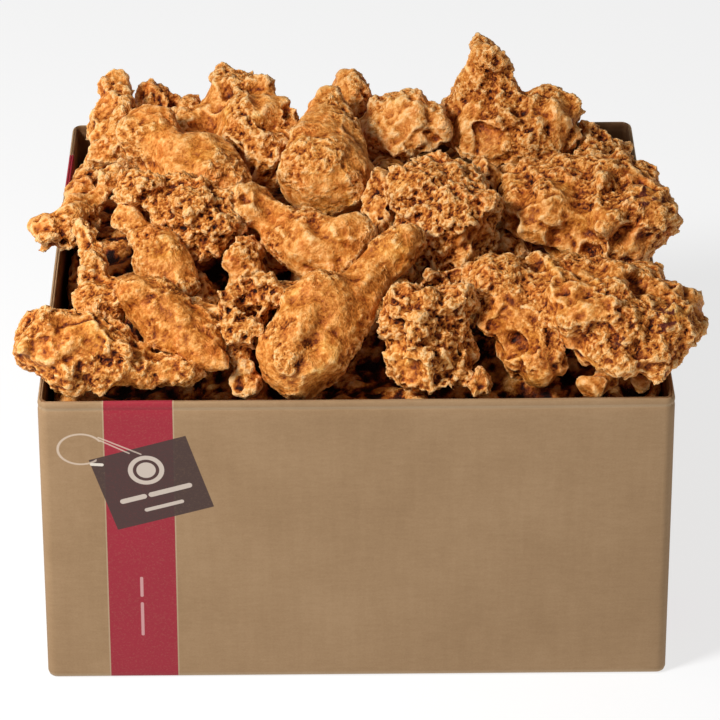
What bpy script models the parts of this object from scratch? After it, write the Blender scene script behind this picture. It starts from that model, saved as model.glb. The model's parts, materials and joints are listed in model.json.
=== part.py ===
# A catering carton heaped with fried chicken: the folded carton, the body of pieces that lie
# out of sight inside it, and one solid for every piece that lies on top.
import math
from collections import namedtuple

import bmesh
import bpy
from mathutils import Matrix, Vector, noise
from mathutils.bvhtree import BVHTree

# ---------------------------------------------------------------- driving sizes (metres)
CARTON_WIDTH = 0.360
CARTON_DEPTH = 0.305
CARTON_HEIGHT = 0.205
BOARD = 0.0035              # two plies of light corrugated board
CORNER_RADIUS = 0.005       # how tightly the board folds round an upright edge
FLOOR_EDGE = 0.0015         # softened edge round the bottom
CORNER_SEGMENTS = 3
CORNER_ROOM = CORNER_RADIUS / 4     # how far a square corner stays back from the rounded one

GAP = 0.0007                # clear space left between pieces that lie against each other
CORE_GAP = 0.0012           # clear space between the top pieces and the body below them
CORE_CLEARANCE = 0.0006     # clear space between that body and the board
CORE_CELLS = (14, 12)       # grid of the uneven top of the body below
CORE_SAMPLES = 3            # rays in each direction inside one grid cell
CORE_EDGE = 0.016           # depth of that body below the rim along the walls
CORE_CROWN = 0.030          # how much higher its middle is than its edge
CROWN_POWER = 4             # keeps the crown flat in the middle and steep near the walls
CORE_MOUND = 0.012          # how far the pieces in it stand up and sink down
CORE_MOUND_WAVE = 0.045     # spacing of those pieces
CORE_LEAST = 0.060          # it never drops further than this below the rim

CM = 0.01                   # the pieces below are measured in centimetres
FACE = Vector((0.0, -0.45, 1.0)).normalized()   # the way a piece's broad side faces on the heap
LUMP_WAVE = 0.021           # spacing of the lumps in the crust
SEED_STEP = Vector((1.0, 0.37, -1.0))   # moves the lumps on from one piece to the next
CLOSE = 0.00002             # points nearer than this are one point

# Outlines along a piece: (share of the length, share of the half width), thick end first.
OUTLINES = {
    "drumstick": ((0.02, 0.42), (0.08, 0.74), (0.18, 0.96), (0.31, 1.0), (0.45, 0.84),
                  (0.58, 0.66), (0.71, 0.52), (0.83, 0.46), (0.92, 0.52), (0.98, 0.34)),
    "drumette": ((0.03, 0.48), (0.12, 0.82), (0.27, 1.0), (0.44, 0.92), (0.60, 0.68),
                 (0.76, 0.52), (0.89, 0.58), (0.97, 0.34)),
    "cone": ((0.02, 0.46), (0.08, 0.78), (0.18, 0.98), (0.32, 1.0), (0.48, 0.86),
             (0.64, 0.66), (0.78, 0.50), (0.89, 0.40), (0.97, 0.26)),
    "thigh": ((0.03, 0.44), (0.10, 0.74), (0.22, 0.95), (0.37, 1.0), (0.53, 0.98),
              (0.69, 0.88), (0.83, 0.68), (0.92, 0.46), (0.98, 0.24)),
    "breast": ((0.02, 0.40), (0.07, 0.68), (0.16, 0.90), (0.28, 1.0), (0.42, 0.97),
               (0.56, 0.86), (0.70, 0.70), (0.83, 0.52), (0.93, 0.34), (0.985, 0.18)),
    "wing": ((0.03, 0.56), (0.12, 0.90), (0.28, 1.0), (0.46, 0.86), (0.64, 0.84),
             (0.80, 0.88), (0.92, 0.66), (0.98, 0.36)),
    "oval": ((0.02, 0.38), (0.09, 0.68), (0.21, 0.90), (0.36, 1.0), (0.52, 0.98),
             (0.68, 0.86), (0.82, 0.66), (0.92, 0.44), (0.98, 0.22)),
    "knob": ((0.06, 0.52), (0.22, 0.88), (0.48, 1.0), (0.75, 0.86), (0.94, 0.48)),
}
SIDES = {"drumstick": 10, "cone": 10, "thigh": 10, "breast": 12, "drumette": 9, "wing": 9,
         "oval": 9, "knob": 7}

# thick, thin: the two ends in centimetres from the middle of the carton, height over its rim.
# width, depth: the full size across, seen on the broad side and edge on. turn: how far the
# piece curls between its ends. roll: how far it is turned about its own length.
Piece = namedtuple("Piece", "name shape thick thin width depth turn roll lumps")

# lumps: how far the crust's lumps stand out, as a share of the half width.
# Listed from the pieces that lie over the others to the pieces that they cover.
PIECES = (
    Piece("wing_front_left", "oval", (-13.3, -8.4, 3.6), (-7.1, -14.0, 1.2), 3.9, 3.4, 0, 0, 0.05),
    Piece("drumstick_front_left", "cone", (-19.3, -12.4, 2.7), (-8.6, -13.5, 0.5), 5.0, 4.4, 0, 0, 0.08),
    Piece("drumstick_front", "drumstick", (-4.9, -14.2, 0.4), (3.0, -6.6, 5.3), 5.8, 5.4, 0, 0, 0.06),
    Piece("thigh_front", "thigh", (4.0, -14.5, 0.0), (4.1, -9.2, 3.9), 5.6, 4.6, 0, 0, 0.10),
    Piece("curl_front", "wing", (9.9, -14.2, 0.3), (6.6, -9.6, 3.2), 4.9, 4.0, 105, 0, 0.08),
    Piece("breast_front_right", "breast", (19.6, -12.8, 2.4), (6.8, -8.0, 3.8), 8.2, 4.8, 0, 12, 0.08),
    Piece("drumette_left", "drumette", (-14.0, -11.2, 1.6), (-15.9, -3.8, 5.0), 3.2, 2.8, 0, 0, 0.08),
    Piece("drumette_left_middle", "drumette", (-9.4, -8.2, 2.4), (-13.9, -2.2, 5.0), 3.5, 3.2, 0, 0, 0.07),
    Piece("wing_far_left", "drumette", (-18.5, -3.4, 2.7), (-13.6, 2.9, 4.6), 3.3, 2.4, 0, 0, 0.09),
    Piece("wing_under", "wing", (-11.6, -7.0, 2.2), (-6.4, -11.4, 1.4), 3.2, 2.4, 0, 0, 0.05),
    Piece("thigh_left", "oval", (-6.7, 0.2, 4.0), (-14.2, 6.8, 4.7), 5.2, 4.6, 0, 0, 0.06),
    Piece("wing_left", "thigh", (-7.1, -5.0, 4.2), (-14.2, 0.2, 4.0), 5.0, 4.2, 20, 0, 0.11),
    Piece("wing_back_left", "cone", (-14.9, 4.2, 3.2), (-14.4, 11.0, 6.9), 3.6, 3.2, 0, 0, 0.09),
    Piece("curl_middle", "thigh", (-8.2, -10.6, 2.4), (-1.6, -9.4, 2.8), 5.0, 4.2, 40, 0, 0.12),
    Piece("drumstick_middle", "drumette", (0.3, -7.0, 2.8), (-7.2, -1.6, 5.2), 4.7, 4.2, 0, 0, 0.06),
    Piece("knob_middle", "knob", (-6.5, -7.2, 1.4), (-6.7, -3.6, 4.0), 3.0, 3.0, 0, 0, 0.06),
    Piece("drumstick_back", "cone", (-1.9, -1.0, 3.9), (-1.3, 8.4, 6.9), 5.8, 5.0, 0, 0, 0.05),
    Piece("knob_back", "knob", (0.3, 8.6, 3.0), (-0.5, 12.0, 6.0), 3.3, 3.2, 0, 0, 0.07),
    Piece("thigh_back_left", "breast", (-5.4, 3.0, 2.8), (-7.8, 12.0, 6.3), 6.6, 5.4, 0, 0, 0.09),
    Piece("tip_back_left", "wing", (-13.4, 11.4, 5.0), (-10.8, 9.8, 3.4), 3.0, 2.8, 0, 0, 0.08),
    Piece("wing_behind_left", "oval", (-8.4, 8.6, 4.3), (-11.8, 9.2, 3.9), 3.6, 3.2, 0, 0, 0.09),
    Piece("thigh_middle", "thigh", (5.2, -6.8, 2.8), (5.4, 1.8, 5.4), 6.2, 5.2, 0, 0, 0.09),
    Piece("drumette_middle", "drumette", (1.3, 1.8, 5.0), (1.5, -5.0, 3.5), 2.8, 2.6, 0, 0, 0.09),
    Piece("thigh_back", "oval", (0.2, 9.0, 4.0), (6.2, 6.2, 4.5), 5.4, 4.6, 0, 0, 0.09),
    Piece("thigh_right", "breast", (18.5, -3.2, 3.6), (8.2, 0.6, 4.4), 9.2, 5.8, 0, 10, 0.09),
    Piece("drumette_peak", "cone", (8.4, 8.4, 4.6), (8.2, 12.2, 8.2), 4.6, 4.0, 0, 0, 0.09),
    Piece("thigh_back_right", "thigh", (14.2, 7.4, 3.6), (4.8, 8.6, 3.9), 6.0, 5.0, 0, 0, 0.10),
    Piece("wing_back_right", "wing", (10.8, 5.8, 2.6), (16.9, 8.4, 2.6), 4.2, 3.2, 0, 0, 0.11),
    Piece("knob_right", "knob", (6.9, 3.4, 3.8), (9.2, 2.0, 4.0), 2.4, 2.2, 0, 0, 0.08),
    Piece("knob_middle_right", "knob", (3.3, -7.8, 2.4), (3.1, -5.2, 4.0), 1.9, 1.9, 0, 0, 0.06),
    Piece("wing_middle_right", "wing", (2.9, -7.4, 2.4), (7.4, -7.2, 2.6), 2.5, 2.4, 0, 0, 0.08),
    Piece("wing_deep_right", "oval", (7.0, -2.6, 2.0), (11.4, -4.0, 2.0), 3.6, 2.8, 0, 0, 0.06),
    Piece("lump_front_right", "knob", (12.2, -13.6, -0.1), (15.3, -13.6, 0.0), 2.2, 2.0, 0, 0, 0.07),
    Piece("lump_corner_right", "knob", (15.2, -13.7, 0.0), (17.3, -13.4, 0.1), 1.8, 1.8, 0, 0, 0.07),
    Piece("crumb_front", "knob", (5.9, -13.7, 0.4), (7.9, -13.8, 0.4), 2.0, 2.0, 0, 0, 0.08),
    Piece("piece_deep_front", "oval", (-6.5, -14.2, -0.4), (-6.4, -11.0, 0.9), 2.2, 2.2, 0, 0, 0.06),
    # lower pieces that fill the gaps of the heap
    Piece("piece_deep_left", "oval", (-10.8, -4.2, 1.2), (-8.2, -9.0, 0.4), 4.0, 3.2, 0, 0, 0.08),
    Piece("piece_deep_middle", "oval", (-7.4, -0.6, 2.2), (-2.0, -4.0, 2.4), 3.8, 3.4, 0, 0, 0.08),
    Piece("piece_deep_centre", "oval", (1.8, 5.6, 2.8), (3.4, -1.0, 2.6), 3.8, 3.4, 0, 0, 0.08),
    Piece("piece_deep_right", "oval", (7.6, 4.4, 2.0), (11.4, 1.2, 2.4), 4.4, 3.6, 0, 0, 0.08),
    # the far side of the heap
    Piece("drumette_back_left", "drumette", (-16.2, 12.6, 0.2), (-9.6, 12.8, -0.4), 3.6, 3.2, 0, 0, 0.08),
    Piece("thigh_back_low_left", "thigh", (-9.4, 12.2, 1.0), (-2.8, 12.9, 0.4), 4.4, 3.8, 0, 0, 0.08),
    Piece("wing_back_low", "wing", (-2.6, 12.6, 0.8), (4.0, 12.8, 1.2), 4.0, 3.4, 0, 0, 0.08),
    Piece("thigh_back_low_right", "thigh", (11.6, 12.4, 1.0), (4.4, 12.9, 1.2), 4.4, 3.8, 0, 0, 0.08),
    Piece("piece_corner_left", "oval", (-17.0, 2.0, 0.0), (-16.4, 8.6, 1.0), 3.0, 3.4, 0, 0, 0.08),
    Piece("piece_corner_right", "oval", (11.8, 12.0, -2.0), (17.0, 11.4, -1.8), 4.0, 3.0, 0, 0, 0.08),
    Piece("piece_side_right", "oval", (14.0, 4.6, 1.0), (16.4, -8.0, 0.0), 3.8, 3.6, 0, 0, 0.08),
)
PLAIN_NAMES = "piece_"       # pieces mostly out of sight, built with fewer sides
PLAIN_SIDES = 6


# ---------------------------------------------------------------- small helpers
def clear_scene():
    for thing in list(bpy.data.objects):
        bpy.data.objects.remove(thing, do_unlink=True)


def new_object(name, mesh):
    thing = bpy.data.objects.new(name, mesh)
    bpy.context.scene.collection.objects.link(thing)
    return thing


def mesh_from(name, shape):
    mesh = bpy.data.meshes.new(name)
    shape.to_mesh(mesh)
    shape.free()
    return mesh


def give_material(thing, colour, roughness):
    material = bpy.data.materials.new(thing.name)
    material.use_nodes = True
    shader = material.node_tree.nodes["Principled BSDF"]
    shader.inputs["Base Color"].default_value = (*colour, 1.0)
    shader.inputs["Roughness"].default_value = roughness
    shader.inputs["Metallic"].default_value = 0.0
    thing.data.materials.clear()
    thing.data.materials.append(material)


def shade_smooth(mesh):
    for face in mesh.polygons:
        face.use_smooth = True


def largest_part(shape):
    """Keep the biggest connected part of a carved shape and drop loose slivers."""
    unseen = set(shape.verts)
    parts = []
    while unseen:
        part = {unseen.pop()}
        frontier = list(part)
        while frontier:
            for edge in frontier.pop().link_edges:
                for vertex in edge.verts:
                    if vertex in unseen:
                        unseen.discard(vertex)
                        part.add(vertex)
                        frontier.append(vertex)
        parts.append(part)
    keep = max(parts, key=lambda part: box_volume([vertex.co for vertex in part]))
    bmesh.ops.delete(shape, geom=[v for v in shape.verts if v not in keep], context="VERTS")


def block(centre, size, tall):
    """A block that stands on the ground."""
    shape = bmesh.new()
    bmesh.ops.create_cube(shape, size=1.0)
    bmesh.ops.scale(shape, vec=(*size, tall), verts=shape.verts)
    bmesh.ops.translate(shape, vec=(*centre, tall / 2), verts=shape.verts)
    return shape


def box_volume(points):
    spans = [max(p[axis] for p in points) - min(p[axis] for p in points) for axis in range(3)]
    return spans[0] * spans[1] * spans[2]


# ---------------------------------------------------------------- carton
def build_carton():
    shape = block((0, 0), (CARTON_WIDTH, CARTON_DEPTH), CARTON_HEIGHT)
    upright = [e for e in shape.edges if abs(e.verts[0].co.z - e.verts[1].co.z) > BOARD]
    bmesh.ops.bevel(shape, geom=upright, offset=CORNER_RADIUS, segments=CORNER_SEGMENTS,
                    profile=0.5, affect="EDGES")
    floor_edges = [e for e in shape.edges if max(v.co.z for v in e.verts) < BOARD]
    bmesh.ops.bevel(shape, geom=floor_edges, offset=FLOOR_EDGE, segments=1, profile=0.5,
                    affect="EDGES")
    top = max(shape.faces, key=lambda face: face.calc_center_median().z)
    bmesh.ops.inset_region(shape, faces=[top], thickness=BOARD, use_even_offset=True)
    sunk = bmesh.ops.extrude_discrete_faces(shape, faces=[top])["faces"][0]
    bmesh.ops.translate(shape, vec=(0, 0, BOARD - CARTON_HEIGHT), verts=sunk.verts)
    bmesh.ops.recalc_face_normals(shape, faces=shape.faces)
    return new_object("carton", mesh_from("carton", shape))


# ---------------------------------------------------------------- chicken
def piece_point(piece, share, grow):
    """Middle of the piece at a share of its length, with the directions along and across it."""
    ends = [Vector(end) * CM + Vector((0, 0, CARTON_HEIGHT)) for end in (piece.thick, piece.thin)]
    chord = ends[1] - ends[0]
    along = chord.normalized()
    ends[0] -= along * grow
    ends[1] += along * grow
    chord = ends[1] - ends[0]
    broad = Matrix.Rotation(math.radians(piece.roll), 3, along) @ FACE
    sideways = broad.cross(along).normalized()
    if not piece.turn:
        return ends[0] + chord * share, along, sideways
    turn = math.radians(piece.turn)
    radius = chord.length / (2 * math.sin(turn / 2))
    angle = turn * (share - 0.5)
    middle = ends[0] + chord / 2 + sideways * radius * math.cos(turn / 2)
    point = middle + along * radius * math.sin(angle) - sideways * radius * math.cos(angle)
    return (point, along * math.cos(angle) + sideways * math.sin(angle),
            sideways * math.cos(angle) - along * math.sin(angle))


def lump(point, seed):
    return noise.noise(point / LUMP_WAVE + SEED_STEP * seed)


def piece_mesh(piece, seed, grow=0.0):
    """Rings of points along the piece, closed by a point at each end."""
    sides = PLAIN_SIDES if piece.name.startswith(PLAIN_NAMES) else SIDES[piece.shape]
    shape = bmesh.new()
    rings = []
    for share, radius in OUTLINES[piece.shape]:
        centre, along, sideways = piece_point(piece, share, grow)
        upward = along.cross(sideways)
        ring = []
        for step in range(sides):
            angle = 2 * math.pi * step / sides
            across = sideways * math.cos(angle) * piece.width * CM / 2
            through = upward * math.sin(angle) * piece.depth * CM / 2
            spoke = (across + through) * radius
            bumpy = 1 + 2 * piece.lumps * lump(centre + spoke, seed)
            ring.append(shape.verts.new(centre + spoke * bumpy + spoke.normalized() * grow))
        rings.append(ring)
    first = shape.verts.new(piece_point(piece, 0.0, grow)[0])
    last = shape.verts.new(piece_point(piece, 1.0, grow)[0])
    for step in range(sides):
        after = (step + 1) % sides
        shape.faces.new((first, rings[0][after], rings[0][step]))
        shape.faces.new((last, rings[-1][step], rings[-1][after]))
        for near, far in zip(rings, rings[1:]):
            shape.faces.new((near[step], near[after], far[after], far[step]))
    bmesh.ops.triangulate(shape, faces=shape.faces)
    bmesh.ops.recalc_face_normals(shape, faces=shape.faces)
    return mesh_from(piece.name, shape)


def reach(mesh):
    points = [vertex.co for vertex in mesh.vertices]
    low = [min(point[axis] for point in points) for axis in range(3)]
    high = [max(point[axis] for point in points) for axis in range(3)]
    return low, high


def touches(first, second):
    return all(first[0][axis] < second[1][axis] and second[0][axis] < first[1][axis]
               for axis in range(3))


def carve(thing, cutters):
    """Cut the room of every overlapping neighbour out of a piece."""
    near = [cutter for cutter in cutters if touches(reach(thing.data), reach(cutter.data))]
    for cutter in near:
        cut = thing.modifiers.new(cutter.name, "BOOLEAN")
        cut.operation = "DIFFERENCE"
        cut.solver = "EXACT"
        cut.object = cutter
    if not near:
        return
    graph = bpy.context.evaluated_depsgraph_get()
    mesh = bpy.data.meshes.new_from_object(thing.evaluated_get(graph))
    thing.modifiers.clear()
    shape = bmesh.new()
    shape.from_mesh(mesh)
    bmesh.ops.remove_doubles(shape, verts=shape.verts, dist=CLOSE)
    largest_part(shape)
    bmesh.ops.triangulate(shape, faces=shape.faces)
    thing.data = mesh_from(thing.name, shape)


def wall_cutters():
    """The room of the four walls, a little thicker than the board itself."""
    half_x = CARTON_WIDTH / 2 - BOARD / 2
    half_y = CARTON_DEPTH / 2 - BOARD / 2
    thick = BOARD + 2 * GAP
    tall = CARTON_HEIGHT + 2 * GAP
    cutters = []
    for name, centre, size in (("front", (0, -half_y), (CARTON_WIDTH, thick)),
                               ("back", (0, half_y), (CARTON_WIDTH, thick)),
                               ("left", (-half_x, 0), (thick, CARTON_DEPTH)),
                               ("right", (half_x, 0), (thick, CARTON_DEPTH))):
        shape = block(centre, size, tall)
        cutters.append(new_object("room_" + name, mesh_from("room_" + name, shape)))
    return cutters


def build_pieces():
    cutters = wall_cutters()
    things = []
    for seed, piece in enumerate(PIECES):
        thing = new_object(piece.name, piece_mesh(piece, seed))
        carve(thing, cutters)
        cutters.append(new_object("room_" + piece.name, piece_mesh(piece, seed, GAP)))
        things.append(thing)
    for cutter in cutters:
        bpy.data.objects.remove(cutter, do_unlink=True)
    return things


# ---------------------------------------------------------------- body of hidden pieces
def lowest_over(trees, x, y):
    """Height of the lowest piece above a spot, or of a low crown where none lies over it."""
    inward_x = 1 - (2 * x / CARTON_WIDTH) ** CROWN_POWER
    inward_y = 1 - (2 * y / CARTON_DEPTH) ** CROWN_POWER
    mound = CORE_MOUND * noise.noise(Vector((x, y, 0)) / CORE_MOUND_WAVE)
    heights = [CARTON_HEIGHT - CORE_EDGE + mound + CORE_CROWN * inward_x * inward_y]
    for tree in trees:
        hit = tree.ray_cast(Vector((x, y, 0)), Vector((0, 0, 1)))[0]
        if hit is not None:
            heights.append(hit.z - CORE_GAP)
    return min(heights)


def core_heights(things, half_x, half_y):
    """Height of the core at each grid corner, below everything that lies within one cell."""
    trees = [BVHTree.FromPolygons([v.co for v in thing.data.vertices],
                                  [tuple(f.vertices) for f in thing.data.polygons])
             for thing in things]
    cells_x, cells_y = CORE_CELLS
    fine_x, fine_y = cells_x * CORE_SAMPLES, cells_y * CORE_SAMPLES
    fine = [[lowest_over(trees, half_x * (2 * i / fine_x - 1), half_y * (2 * j / fine_y - 1))
             for j in range(fine_y + 1)] for i in range(fine_x + 1)]
    span = CORE_SAMPLES + 1
    heights = []
    for i in range(cells_x + 1):
        row = []
        for j in range(cells_y + 1):
            across = range(max(0, i * CORE_SAMPLES - span), min(fine_x, i * CORE_SAMPLES + span) + 1)
            along = range(max(0, j * CORE_SAMPLES - span), min(fine_y, j * CORE_SAMPLES + span) + 1)
            lowest = min(fine[a][b] for a in across for b in along)
            row.append(max(lowest, CARTON_HEIGHT - CORE_LEAST))
        heights.append(row)
    return heights


def build_core(things):
    half_x = CARTON_WIDTH / 2 - BOARD - CORE_CLEARANCE - CORNER_ROOM
    half_y = CARTON_DEPTH / 2 - BOARD - CORE_CLEARANCE - CORNER_ROOM
    floor = BOARD + CORE_CLEARANCE
    heights = core_heights(things, half_x, half_y)
    cells_x, cells_y = CORE_CELLS
    shape = bmesh.new()
    top = [[shape.verts.new((half_x * (2 * i / cells_x - 1), half_y * (2 * j / cells_y - 1),
                             heights[i][j])) for j in range(cells_y + 1)]
           for i in range(cells_x + 1)]
    for i in range(cells_x):
        for j in range(cells_y):
            shape.faces.new((top[i][j], top[i + 1][j], top[i + 1][j + 1], top[i][j + 1]))
    rim = ([top[i][0] for i in range(cells_x)] + [top[cells_x][j] for j in range(cells_y)]
           + [top[i][cells_y] for i in range(cells_x, 0, -1)]
           + [top[0][j] for j in range(cells_y, 0, -1)])
    feet = [shape.verts.new((vertex.co.x, vertex.co.y, floor)) for vertex in rim]
    for step in range(len(rim)):
        after = (step + 1) % len(rim)
        shape.faces.new((rim[after], rim[step], feet[step], feet[after]))
    shape.faces.new(list(reversed(feet)))
    bmesh.ops.triangulate(shape, faces=shape.faces)
    bmesh.ops.recalc_face_normals(shape, faces=shape.faces)
    return new_object("hidden_pieces", mesh_from("hidden_pieces", shape))


# ---------------------------------------------------------------- looks
KRAFT = (0.36, 0.24, 0.135)
CRUST = (0.56, 0.27, 0.08)
DEEP_CRUST = (0.20, 0.08, 0.025)
KRAFT_ROUGHNESS = 0.85
CRUST_ROUGHNESS = 0.6
DEEP_ROUGHNESS = 0.8
CRUST_SHADES = 5            # the crust runs through this many steps from light to dark
SHADE_STEP = 0.07


def build():
    clear_scene()
    carton = build_carton()
    give_material(carton, KRAFT, KRAFT_ROUGHNESS)
    pieces = build_pieces()
    for number, thing in enumerate(pieces):
        shade = 1 - SHADE_STEP * (number % CRUST_SHADES)
        give_material(thing, [channel * shade for channel in CRUST], CRUST_ROUGHNESS)
        shade_smooth(thing.data)
    core = build_core(pieces)
    give_material(core, DEEP_CRUST, DEEP_ROUGHNESS)


build()
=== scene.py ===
import json
import math
import time

import bmesh
import bpy
from mathutils import Matrix, Vector, noise

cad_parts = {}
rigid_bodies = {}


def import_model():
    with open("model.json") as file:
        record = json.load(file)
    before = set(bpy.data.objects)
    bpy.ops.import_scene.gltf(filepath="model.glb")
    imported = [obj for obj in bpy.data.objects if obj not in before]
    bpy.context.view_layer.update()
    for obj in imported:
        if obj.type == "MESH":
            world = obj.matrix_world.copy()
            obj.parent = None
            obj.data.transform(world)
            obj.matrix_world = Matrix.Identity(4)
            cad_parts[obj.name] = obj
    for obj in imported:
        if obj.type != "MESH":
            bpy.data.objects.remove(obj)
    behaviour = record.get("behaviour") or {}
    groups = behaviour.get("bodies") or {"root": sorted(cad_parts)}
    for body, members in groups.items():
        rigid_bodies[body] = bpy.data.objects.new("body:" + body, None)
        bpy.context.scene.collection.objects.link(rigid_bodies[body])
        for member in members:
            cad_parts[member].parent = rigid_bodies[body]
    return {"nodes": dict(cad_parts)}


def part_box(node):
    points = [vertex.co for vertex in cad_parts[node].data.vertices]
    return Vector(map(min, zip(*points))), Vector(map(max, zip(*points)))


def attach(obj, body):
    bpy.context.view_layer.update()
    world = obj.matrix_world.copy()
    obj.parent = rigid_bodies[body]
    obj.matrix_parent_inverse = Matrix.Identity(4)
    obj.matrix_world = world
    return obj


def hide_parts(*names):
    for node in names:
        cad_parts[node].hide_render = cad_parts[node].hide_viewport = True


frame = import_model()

started = time.time()
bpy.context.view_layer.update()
millimetre = 0.001


def report(stage):
    print("%5.1f s  %s" % (time.time() - started, stage))


# writing node trees as expressions
class Wire:
    # a socket that can be used in sums

    def __init__(self, writer, socket):
        self.writer = writer
        self.socket = socket

    def sum(self, operation, other, swapped=False):
        first, second = (other, self) if swapped else (self, other)
        return self.writer.add("ShaderNodeMath", {"operation": operation}, {0: first, 1: second})

    def __add__(self, other):
        return self.sum("ADD", other)

    def __radd__(self, other):
        return self.sum("ADD", other, True)

    def __sub__(self, other):
        return self.sum("SUBTRACT", other)

    def __rsub__(self, other):
        return self.sum("SUBTRACT", other, True)

    def __mul__(self, other):
        return self.sum("MULTIPLY", other)

    def __rmul__(self, other):
        return self.sum("MULTIPLY", other, True)

    def __truediv__(self, other):
        return self.sum("DIVIDE", other)

    def __rtruediv__(self, other):
        return self.sum("DIVIDE", other, True)

    def __pow__(self, other):
        return self.sum("POWER", other)

    def __abs__(self):
        return self.writer.add("ShaderNodeMath", {"operation": "ABSOLUTE"}, {0: self})

    def __lt__(self, other):
        return self.sum("LESS_THAN", other)

    def __gt__(self, other):
        return self.sum("GREATER_THAN", other)

    def most(self, other):
        return self.sum("MAXIMUM", other)

    def least(self, other):
        return self.sum("MINIMUM", other)

    def rise(self, low, high):
        # 0 below low, 1 above high, smooth between; falls where low is the larger
        return self.writer.add("ShaderNodeMapRange", {"interpolation_type": "SMOOTHSTEP"},
                               {"Value": self, "From Min": low, "From Max": high})


class Writer:
    # adds nodes to one tree

    def __init__(self, tree):
        self.tree = tree

    def add(self, kind, settings=None, values=None, output=0):
        node = self.tree.nodes.new(kind)
        for name, value in (settings or {}).items():
            if name == "stops":
                self.setStops(node.color_ramp, value)
            else:
                setattr(node, name, value)
        for name, value in (values or {}).items():
            if isinstance(value, Wire):
                self.tree.links.new(value.socket, node.inputs[name])
            else:
                node.inputs[name].default_value = value
        return Wire(self, node.outputs[output])

    def setStops(self, ramp, stops):
        while len(ramp.elements) < len(stops):
            ramp.elements.new(1.0)
        for element, (place, colour) in zip(ramp.elements, stops):
            element.position = place
            element.color = (*colour, 1.0)

    def mixColour(self, factor, first, second, blend="MIX"):
        return self.add("ShaderNodeMix", {"data_type": "RGBA", "blend_type": blend},
                        {0: factor, 6: first, 7: second}, 2)

    def vector(self, operation, first, second=None, scale=None):
        values = {0: first}
        if second is not None:
            values[1] = second
        if scale is not None:
            values["Scale"] = scale
        return self.add("ShaderNodeVectorMath", {"operation": operation}, values)

    def noise(self, place, wave, detail=2.0, rough=0.5, seed=0.0, output=0):
        # wave is the size of one lump in metres
        return self.add("ShaderNodeTexNoise", {"noise_dimensions": "4D"},
                        {"Vector": place, "W": seed, "Scale": 1 / wave, "Detail": detail,
                         "Roughness": rough}, output)

    def noiseVector(self, place, wave, detail=1.0, rough=0.5, seed=0.0):
        # three noises about zero
        swirl = self.noise(place, wave, detail, rough, seed, 1)
        return self.vector("SUBTRACT", swirl, (0.5, 0.5, 0.5))

    def value(self, name):
        return self.add("ShaderNodeAttribute", {"attribute_name": name}, None, 2)

    def store(self, geometry, name, value):
        return self.add("GeometryNodeStoreNamedAttribute", {"data_type": "FLOAT", "domain": "POINT"},
                        {"Geometry": geometry, "Name": name, "Value": value})


def solid(colour):
    return (*colour, 1.0)


def crestOf(level, sharpness):
    # 1 on the line where a noise crosses its middle, falling to 0 beside it
    crest = (1 - abs(level - 0.5) * sharpness).most(0.0)
    return crest * crest


# geometry trees
def startTree(name, sizes):
    tree = bpy.data.node_groups.new(name, "GeometryNodeTree")
    tree.interface.new_socket("Geometry", in_out="INPUT", socket_type="NodeSocketGeometry")
    tree.interface.new_socket("Geometry", in_out="OUTPUT", socket_type="NodeSocketGeometry")
    kinds = {float: "NodeSocketFloat", int: "NodeSocketInt", bpy.types.Material: "NodeSocketMaterial"}
    for label, value in sizes.items():
        socket = tree.interface.new_socket(label, in_out="INPUT", socket_type=kinds[type(value)])
        if not isinstance(value, bpy.types.Material):
            socket.default_value = value
    write = Writer(tree)
    start = tree.nodes.new("NodeGroupInput")
    inputs = {socket.name: Wire(write, socket) for socket in start.outputs if socket.name}
    return write, inputs


def endTree(write, geometry):
    end = write.tree.nodes.new("NodeGroupOutput")
    write.tree.links.new(geometry.socket, end.inputs[0])
    return write.tree


def useTree(piece, tree, sizes):
    modifier = piece.modifiers.new(tree.name, "NODES")
    modifier.node_group = tree
    for item in tree.interface.items_tree:
        if item.in_out == "INPUT" and item.name in sizes:
            modifier[item.identifier] = sizes[item.name]


bareSpot = {"bareX": 0.0, "bareY": 0.0, "bareZ": 0.0, "bareSize": 0.0}   # where a crust stays smooth


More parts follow.
